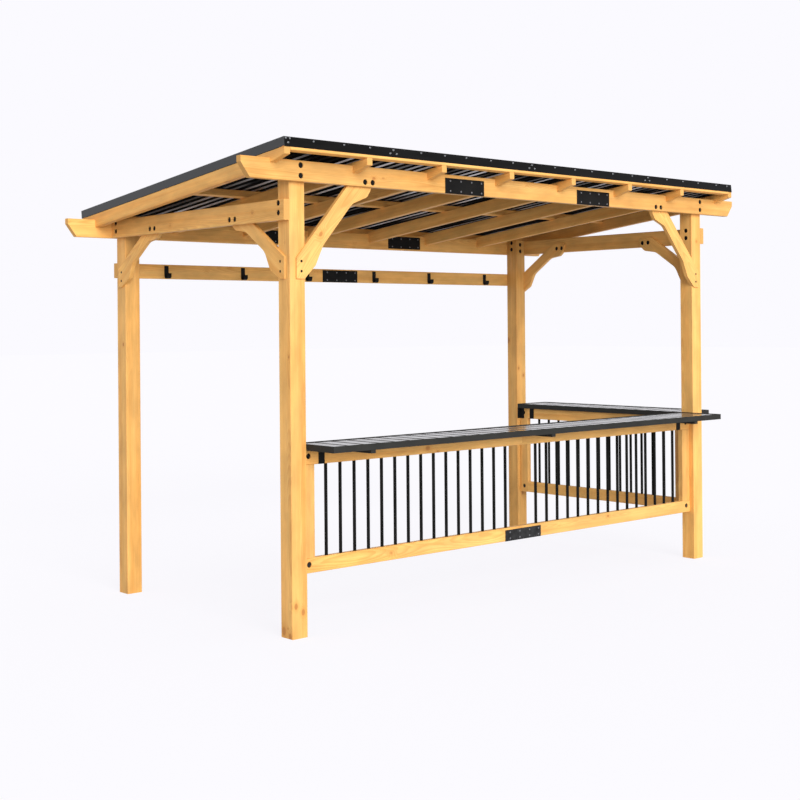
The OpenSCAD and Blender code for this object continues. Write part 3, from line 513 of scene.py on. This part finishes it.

# %% [markdown]
# The steel parts are powder coated: a matt black skin with a very fine orange peel, a cloudy
# tone where dust has settled, and thinner, paler paint along the edges, which is partly wear and
# partly a painted highlight. The Bevel node gives the normal that a rounded edge would have;
# where it differs from the true normal there is an edge, and that is where the wear and the
# painted highlight belong. The thin balusters get an even coat without shine, because wear and
# shine on such narrow rounds would only flicker.

# %% Helper: a coat of paint on steel
def coated_steel(name, dark, pale, rough, peel=900.0, streaks=(1, 1, 1), edge=0.5, shine=0.5,
                 rounding=0.0012, relief=0.25):
    paint, tree, skin = new_paint(name)
    where = object_place(tree)
    cloud = noise(tree, stretch(tree, where, streaks), 6.0, 5.0, 0.6)
    grit = noise(tree, where, peel)
    scuff = noise(tree, where, 55.0, 4.0, 0.7)
    colour = blend_colours(tree, fit_range(tree, cloud, 0.34, 0.70), dark, pale)
    round_edge = put(tree, "Bevel", {"Radius": rounding}, samples=4).outputs[0]
    true_face = put(tree, "NewGeometry").outputs["Normal"]
    same = vectors(tree, "DOT_PRODUCT", round_edge, true_face)
    # paler edges: partly wear, partly a painted highlight
    edge_wear_and_highlight = fit_range(tree, same, 0.995, 0.90, 0.0, edge)
    edge_wear_and_highlight = sums(tree, "MULTIPLY", edge_wear_and_highlight, fit_range(tree, scuff, 0.38, 0.58))
    pale_edge_colour = rgba(*(min(1.0, 3.5 * c + 0.03) for c in pale[:3]))
    colour = blend_colours(tree, edge_wear_and_highlight, colour, pale_edge_colour)
    roughness = fit_range(tree, cloud, 0.3, 0.7, rough - 0.06, rough + 0.08)
    roughness = sums(tree, "MULTIPLY_ADD", edge_wear_and_highlight, -0.12, roughness)
    bump = put(tree, "Bump", {"Height": grit, "Strength": relief, "Distance": 0.0002,
                              "Normal": round_edge})
    tree.links.new(colour, skin.inputs["Base Color"])
    tree.links.new(roughness, skin.inputs["Roughness"])
    tree.links.new(bump.outputs[0], skin.inputs["Normal"])
    skin.inputs["Specular IOR Level"].default_value = shine
    return paint


print("ready to coat steel")


# %% Mix the powder coats
def grey(value):
    return rgba(value, value, value)


black_powder = coated_steel("black powder coat", grey(0.005), grey(0.011), 0.50,
                            edge=0.30, shine=0.08)
grey_powder = coated_steel("charcoal powder coat", rgba(0.022, 0.024, 0.026),
                           rgba(0.036, 0.039, 0.042), 0.42, shine=0.40)
counter_powder = coated_steel("counter powder coat", rgba(0.023, 0.023, 0.022),
                              rgba(0.034, 0.034, 0.032), 0.74, edge=0.30, shine=0.12)
bar_paint = coated_steel("baluster powder coat", grey(0.009), grey(0.016), 0.50,
                         peel=120.0, edge=0.0, shine=0.0, rounding=0.0004, relief=0.03)
print("powder coats mixed")

# %% [markdown]
# Shoes and dust reach the lowest plates and bolts, so the black coat turns a little paler below
# knee height. A second paint would do it too, but one node holds both the high and the low
# plates, and a mask made from the height serves them all.

# %% Dust below knee height
dust_starts, dust_full = 0.65, 0.45
tree, skin = opened(black_powder)
where = object_place(tree)
height = put(tree, "SeparateXYZ", {0: where}).outputs["Z"]
low_down = fit_range(tree, height, dust_starts, dust_full, soft=True)
puffs = noise(tree, where, 28.0, 4.0)
dust = sums(tree, "MULTIPLY", low_down, fit_range(tree, puffs, 0.30, 0.62, 0.3, 1.0))
coat = skin.inputs["Base Color"].links[0].from_socket
dusty = blend_colours(tree, dust, coat, rgba(0.034, 0.035, 0.037))
tree.links.new(dusty, skin.inputs["Base Color"])
print("lowest plates dusted below", dust_starts, "m")

# %% [markdown]
# The roof sheets are rolled steel with a smoother factory paint. From below one sees their
# ribs' undersides as long soft streaks that run down the slope, so the cloud of tone is drawn
# out that way. The front trim is the darkest paint of all, and nearly matt.

# %% Roof and trim finishes
sheet_paint = coated_steel("roof sheet paint", grey(0.004), grey(0.010), 0.45,
                           peel=500.0, streaks=(9, 0.5, 0.5), edge=0.25, shine=0.0)
trim_paint = coated_steel("front trim paint", grey(0.003), grey(0.006), 0.42,
                          peel=500.0, streaks=(0.6, 4, 4), edge=0.25, shine=0.08)
print("roof and trim paints mixed")

# %% [markdown]
# From below, the sides of the rolled ribs catch the bright studio as thin streaks, some strong
# and some faint. Those streaks are a painted reflection: a mask made from the surface's
# direction, broken up by noise that is long down the slope, paints the rib sides underneath as
# pale metal.

# %% Painted reflection streaks on the rib sides under the roof
tree, skin = opened(sheet_paint)
where = object_place(tree)
face_way = put(tree, "SeparateXYZ", {0: put(tree, "NewGeometry").outputs["True Normal"]})
rib_side = fit_range(tree, sums(tree, "ABSOLUTE", face_way.outputs["X"]), 0.6, 0.9)
below = fit_range(tree, face_way.outputs["Z"], 0.0, -0.2)
patchy = noise(tree, stretch(tree, where, (13, 0.8, 0.8)), detail=1.0)
painted_rib_reflection = sums(tree, "MULTIPLY", sums(tree, "MULTIPLY", rib_side, below),
              fit_range(tree, patchy, 0.42, 0.62, 0.03, 0.95))
print("rib sides found")

# %% [markdown]
# The weather side has a paint with metal flakes in it, a little dusty, and dustier in the rain's
# long tracks. Flakes are metal, so this side is partly metallic with a dark colour: it takes a
# soft shine from the sky, while the side below stays black.

# %% The weather side of the roof
clean_roof, dusty_roof = rgba(0.026, 0.027, 0.028), rgba(0.066, 0.067, 0.069)
rib_reflection_grey, flake_share = rgba(0.78, 0.79, 0.82), 0.60
painted = skin.inputs["Base Color"].links[0].from_socket
above = fit_range(tree, face_way.outputs["Z"], 0.0, 0.2)
tracks = noise(tree, stretch(tree, where, (26, 1.2, 1.2)), 1.0, 4.0, 0.65)
weathered = blend_colours(tree, fit_range(tree, tracks, 0.36, 0.68), clean_roof, dusty_roof)
sheet_colour = blend_colours(tree, above, painted, weathered)
# the painted reflection: pale metal on the rib sides underneath
sheet_colour = blend_colours(tree, painted_rib_reflection, sheet_colour, rib_reflection_grey)
tree.links.new(sheet_colour, skin.inputs["Base Color"])
flakes = sums(tree, "MULTIPLY", above, flake_share)
tree.links.new(sums(tree, "MAXIMUM", painted_rib_reflection, flakes), skin.inputs["Metallic"])
print("roof sheets painted on both sides")

# %% [markdown]
# Each steel node now gets its paint. A table from the start of a node's name to its paint is
# short to read and catches all four roof sheets with one line.

# %% Choose a paint for every steel node
steel_nodes = {
    "roof_sheet": sheet_paint, "fascia": trim_paint, "gable_trim": grey_powder,
    "tool_hooks": black_powder, "splice_plates": black_powder,
    "front_balusters": bar_paint, "side_balusters": bar_paint,
    "front_counter_frame": counter_powder, "side_counter_frame": counter_powder,
    "counter_saddles": black_powder, "rail_angles": black_powder, "frame_bolts": black_powder,
}
for name in nodes:
    for start, paint in steel_nodes.items():
        if name.startswith(start):
            dress(name, paint)
print("steel dressed")

# %% [markdown]
# The screws in the feet of the braces are browned, those of the plates are dull zinc, and those
# of the front trim bright zinc. Small as they are, they need a metal that reflects the studio,
# with a fine stain in it: a flat grey would look like a painted dot.

# %% Helper: a plated metal
def plated(name, bright, dull, rough):
    paint, tree, skin = new_paint(name)
    stain = noise(tree, object_place(tree), 320.0, 3.0)
    tree.links.new(blend_colours(tree, fit_range(tree, stain, 0.35, 0.65), bright, dull),
                   skin.inputs["Base Color"])
    tree.links.new(fit_range(tree, stain, 0.3, 0.7, rough, rough + 0.2),
                   skin.inputs["Roughness"])
    bump = put(tree, "Bump", {"Height": stain, "Strength": 0.2, "Distance": 0.0002})
    tree.links.new(bump.outputs[0], skin.inputs["Normal"])
    skin.inputs["Metallic"].default_value = 1.0
    return paint


browned_steel = plated("browned steel", rgba(0.050, 0.038, 0.025), rgba(0.030, 0.022, 0.015),
                       0.42)
bright_zinc = plated("bright zinc", rgba(0.40, 0.41, 0.42), rgba(0.25, 0.26, 0.27), 0.38)
dull_zinc = plated("dull zinc", rgba(0.26, 0.26, 0.27), rgba(0.15, 0.15, 0.16), 0.45)
dress("brace_screws", browned_steel)
print("screws plated")

# %% [markdown]
# Several CAD nodes hold more than one solid: seven splice plates, six hooks, four saddles and
# four angles. To put screws on them, this helper sorts a node's triangles into lumps that touch,
# and gives the box of each lump. The places could be written down as numbers, but the boxes
# follow the CAD when it changes.

# %% Helper: the boxes of a node's solids
def solids_of(node):
    mesh = nodes[node].data
    leader = {}

    def head(key):
        while leader[key] != key:
            leader[key] = leader[leader[key]]
            key = leader[key]
        return key

    for face in mesh.polygons:
        keys = [tuple(round(c, 5) for c in mesh.vertices[v].co) for v in face.vertices]
        for key in keys:
            leader.setdefault(key, key)
        for key in keys[1:]:
            leader[head(keys[0])] = head(key)
    lumps = {}
    for key in leader:
        lumps.setdefault(head(key), []).append(key)
    return sorted((tuple(map(min, zip(*points))), tuple(map(max, zip(*points))))
                  for points in lumps.values())


plates = solids_of("splice_plates")
hooks = solids_of("tool_hooks")
saddles = solids_of("counter_saddles")
angles = solids_of("rail_angles")
print(len(plates), "plates,", len(hooks), "hooks,", len(saddles), "saddles,",
      len(angles), "angles")

# %% [markdown]
# The counters' slats are folded strips with gloss paint: seen at a low angle they mirror the
# pale studio. Only their rounded shoulders and the gaps between them stay dark. On the shoulders
# that dark is painted shade: this paint counts how far a point is from its own slat's middle,
# and turns dark and matt over the last centimetre before the fold. The steps come from the boxes
# of the slats themselves.

# %% Gloss slats with painted shade on their shoulders
fold_starts, fold_full = 0.013, 0.003
gloss, shoulder_shade, shoulder_rough = 0.15, grey(0.012), 0.75


def slat_finish(node, axis):
    slats = solids_of(node)
    first = slats[0][0][axis]
    step = (slats[-1][0][axis] - first) / (len(slats) - 1)
    half = (slats[0][1][axis] - first) / 2
    paint = coated_steel(node + " paint", rgba(0.075, 0.076, 0.078), rgba(0.140, 0.141, 0.144),
                         gloss, peel=300.0, edge=0.0)
    tree, skin = opened(paint)
    along = put(tree, "SeparateXYZ", {0: object_place(tree)}).outputs[axis]
    place = sums(tree, "FRACT", sums(tree, "MULTIPLY_ADD", along, 1 / step, -first / step))
    from_middle = sums(tree, "ABSOLUTE", sums(tree, "SUBTRACT", place, half / step))
    # painted shade: the slat turns dark and matt towards its fold
    fold = fit_range(tree, from_middle, (half - fold_starts) / step, (half - fold_full) / step,
                     soft=True)
    colour, roughness = skin.inputs["Base Color"], skin.inputs["Roughness"]
    tree.links.new(blend_colours(tree, fold, colour.links[0].from_socket, shoulder_shade), colour)
    tree.links.new(sums(tree, "MULTIPLY_ADD", fold, shoulder_rough - gloss,
                        roughness.links[0].from_socket), roughness)
    dress(node, paint)
    print(node, len(slats), "slats,", round(step * 1000, 1), "mm apart")


slat_finish("front_counter_slats", 0)
slat_finish("side_counter_slats", 1)

# %% [markdown]
# The plates are fixed with pan head screws. One is enough as a model: a twelve sided disc whose
# top is drawn in and up twice for the dome, then drawn in and pushed down for the driver's
# recess. Faces are picked by their height and direction, never by their number, so the same
# cell works in any Blender.

# %% Helpers: a disc with its top picked, and a step up from it
def pick_top(height):
    bpy.ops.mesh.select_mode(type="FACE")
    bpy.ops.mesh.select_all(action="DESELECT")
    bpy.ops.object.mode_set(mode="OBJECT")
    for face in bpy.context.object.data.polygons:
        face.select = face.normal.z > 0.9 and abs(face.center.z - height) < 0.0002
    bpy.ops.object.mode_set(mode="EDIT")


def stand_disc(sides, radius, bottom, top):
    bpy.ops.object.select_all(action="DESELECT")
    bpy.ops.mesh.primitive_cylinder_add(vertices=sides, radius=radius, depth=top - bottom,
                                        location=(0, 0, (bottom + top) / 2))
    bpy.ops.object.transform_apply(location=True, rotation=True, scale=True)
    bpy.ops.object.mode_set(mode="EDIT")
    pick_top(top)
    return bpy.context.object


def step_up(rise, shrink):
    bpy.ops.mesh.extrude_region_move(TRANSFORM_OT_translate={"value": (0, 0, rise)})
    bpy.ops.transform.resize(value=(shrink, shrink, 1))


print("ready to model screws")

# %% Model one pan head screw
pan_head = stand_disc(12, 0.0064, -0.0002, 0.0008)
pan_head.name = "pan_head_screw"
step_up(0.0010, 0.92)
step_up(0.0006, 0.72)
bpy.ops.mesh.inset(thickness=0.0010)
step_up(-0.0012, 0.8)
bpy.ops.object.mode_set(mode="OBJECT")
print("pan head:", len(pan_head.data.polygons), "faces")

# %% [markdown]
# The roof and its trims are held by sheet metal screws with a hexagon head on a wide washer.
# The washer is a disc of twelve sides. Pulling six of the twelve corners of an inner ring
# outwards would give a hexagon on it; it is simpler to stand a six sided head on the disc, draw
# its top in for the bevel and push a dimple into it.

# %% Model one hexagon washer screw
washer = stand_disc(12, 0.0056, -0.0002, 0.0012)
step_up(0.0006, 0.86)
bpy.ops.object.mode_set(mode="OBJECT")

stand_disc(6, 0.0037, 0.0016, 0.0056)
step_up(0.0006, 0.88)
bpy.ops.mesh.inset(thickness=0.0014)
step_up(-0.0005, 0.9)
bpy.ops.object.mode_set(mode="OBJECT")

washer.select_set(True)
bpy.context.view_layer.objects.active = washer
bpy.ops.object.join()
hex_screw = washer
hex_screw.name = "hexagon_washer_screw"
print("hexagon screw:", len(hex_screw.data.polygons), "faces")

# %% [markdown]
# A screw is now a stamp: this helper copies it, each copy with its own mesh, turns it so that
# its head points away from the surface, gives it a turn of its own as a driver leaves it, and
# joins the row into one piece that rides on the root body. The heads could be joined to the
# plates they hold, but a CAD mesh is never changed, so each row stays a piece beside them.

# %% Helper: a row of screws
def screw_row(name, model, spots, paint):
    bpy.ops.object.select_all(action="DESELECT")
    copies = []
    for place, way in spots:
        copy = model.copy()
        copy.data = model.data.copy()
        bpy.context.collection.objects.link(copy)
        facing_way = Vector(way).to_track_quat("Z", "Y").to_matrix().to_4x4()
        spin = Matrix.Rotation(chooser.uniform(0, math.tau), 4, "Z")
        copy.matrix_world = Matrix.Translation(Vector(place)) @ facing_way @ spin
        copies.append(copy)
    for copy in copies:
        copy.select_set(True)
    bpy.context.view_layer.objects.active = copies[0]
    bpy.ops.object.join()
    bpy.ops.object.transform_apply(location=True, rotation=True, scale=True)
    row = bpy.context.object
    row.name = name
    row.data.materials.clear()
    row.data.materials.append(paint)
    bpy.ops.object.shade_smooth_by_angle(angle=math.radians(35))
    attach(row, "root")
    print(name, "has", len(spots), "screws and", len(row.data.polygons), "faces")


print("ready to set screws")

# %% [markdown]
# Each splice plate has two rows of four screws. The plate of the upper rail is on the inner
# side, all others face the front. The screws' places are counted from the middle of each plate
# and from its edges, so they follow the plates.

# %% Screws on the splice plates
to_front, to_back, to_left = (0, -1, 0), (0, 1, 0), (-1, 0, 0)
plate_columns, plate_margin = (-0.129, -0.035, 0.060, 0.149), 0.017
upper_rail_zone = (0.9, 1.1)
plate_spots = []
for low, high in plates:
    inner = upper_rail_zone[0] < low[2] < upper_rail_zone[1]
    face_y, way = (high[1], to_back) if inner else (low[1], to_front)
    middle_x = (low[0] + high[0]) / 2
    for column in plate_columns:
        for z in (low[2] + plate_margin, high[2] - plate_margin):
            plate_spots.append(((middle_x + column, face_y, z), way))
screw_row("plate_screws", pan_head, plate_spots, dull_zinc)

# %% [markdown]
# A tool hook is held by two screws, one above the other. Each saddle strap has two on its inner
# leg, and each angle two on the leg that lies along the rail. These screws are painted black
# like the steel round them, so they take the brackets' own paint instead of a plated metal.

# %% Screws of the hooks and saddles
bracket_steel = 0.003
hook_screws, saddle_screws = (0.014, 0.040), (0.018, 0.040)
bracket_spots = []
for low, high in hooks:
    for below_top in hook_screws:
        bracket_spots.append((((low[0] + high[0]) / 2, high[1] - bracket_steel,
                               high[2] - below_top), to_front))
for low, high in saddles:
    on_front_bar = high[0] - low[0] < high[1] - low[1]
    middle = [(a + b) / 2 for a, b in zip(low, high)]
    for above_foot in saddle_screws:
        height = low[2] + above_foot
        if on_front_bar:
            bracket_spots.append(((middle[0], high[1], height), to_back))
        else:
            bracket_spots.append(((low[0], middle[1], height), to_left))
print(len(bracket_spots), "places for hook and saddle screws")

# %% Screws of the rail angles
angle_margin, angle_reach, front_bar_back = 0.022, 0.032, -0.80
for low, high in angles:
    for height in (low[2] + angle_margin, high[2] - angle_margin):
        if high[1] < front_bar_back:
            inner = low[0] if low[0] < 0 else high[0]
            way = 1 if low[0] < 0 else -1
            bracket_spots.append(((inner + way * angle_reach, low[1] + bracket_steel, height),
                                  to_back))
        else:
            way = 1 if low[1] < 0 else -1
            inner = low[1] if way > 0 else high[1]
            bracket_spots.append(((high[0] - bracket_steel, inner + way * angle_reach, height),
                                  to_left))
screw_row("bracket_screws", pan_head, bracket_spots, black_powder)

# %% [markdown]
# The front trim shows a row of bright screws about twenty centimetres apart, two more at each
# of its joints, and three at its left corner. The roof's slope has its own frame: "down" runs
# along the rafters and "out" stands square to them, so a place on the roof is two short numbers
# instead of two long ones. It starts on the rafters' top, over the middle of the front beam.
# Along the front, places are in millimetres from the outer side of the left post, as in the CAD.

# %% The roof's own directions
slope_down = Vector(down_slope)
slope_out = Vector((0, math.sin(roof_fall), math.cos(roof_fall)))
slope_start = Vector((0, -0.959077, 2.761))
face_out = slope_down * -1
trim_face, frame_half = -0.15898, 1.971


def on_roof(x, down, out):
    return Vector((x, 0, 0)) + slope_start + slope_down * down + slope_out * out


def from_left(millimetres):
    return millimetres / 1000 - frame_half


print("trim faces along", tuple(round(c, 3) for c in face_out))

# %% Screws along the front trim
trim_x = [45, 269, 465, 649, 873, 1073, 1257, 1477, 1681, 1861, 2085, 2289, 2465, 2689, 2901,
          3081, 3301, 3493, 3681, 3909, 4049]
joint_x, joint_reach = [647, 1858, 3069], 0.025
corner_screws = ((-150, 0.064), (-122, 0.064), (-136, 0.040))
row_out, joint_out = 0.0595, 0.038
trim_spots = [(on_roof(from_left(x), trim_face, row_out), face_out) for x in trim_x]
for x in joint_x:
    for side in (-joint_reach, joint_reach):
        trim_spots.append((on_roof(from_left(x) + side, trim_face, joint_out), face_out))
for x, out in corner_screws:
    trim_spots.append((on_roof(from_left(x), trim_face, out), face_out))
screw_row("trim_screws", hex_screw, trim_spots, bright_zinc)

# %% [markdown]
# On top, every third rib is screwed down to each of the three purlins. The ribs' pitch follows
# from the CAD: thirteen steps on each of the four sheets, and the first rib's foot starts a
# millimetre inside the side trim. Where two sheets lap, the screw stands on both and so a little
# higher. The photograph doesn't show the roof's top, so these screws are a guess, and the
# quietest guess is the roof's own black.

# %% Screws on the roof sheets
side_eave, trim_steel, half_rib, play = 0.164, 0.0015, 0.018, 0.001
rib_first = -side_eave + trim_steel + half_rib + play
ribs_per_sheet, sheet_count, ribs_per_screw = 13, 4, 3
rib_steps = ribs_per_sheet * sheet_count
rib_step = (2 * frame_half - 2 * rib_first) / rib_steps
rib_crest, lap_rise = 0.0711, 0.0011
purlin_rows = (-0.106, 1.107, 2.093)
sheet_spots = []
for down in purlin_rows:
    for rib in range(1, rib_steps, ribs_per_screw):
        lap = lap_rise if rib % ribs_per_sheet == 0 else 0.0
        sheet_spots.append((on_roof(rib_first + rib * rib_step - frame_half, down,
                                    rib_crest + lap), slope_out))
screw_row("sheet_screws", hex_screw, sheet_spots, black_powder)

# %% [markdown]
# The two model screws were only stamps, and no such screw stands in the middle of the floor.
# Hiding them would leave two pieces that ride on nothing, so they are removed.

# %% Put the two model screws away
for model in (pan_head, hex_screw):
    bpy.data.objects.remove(model)
print("models removed")
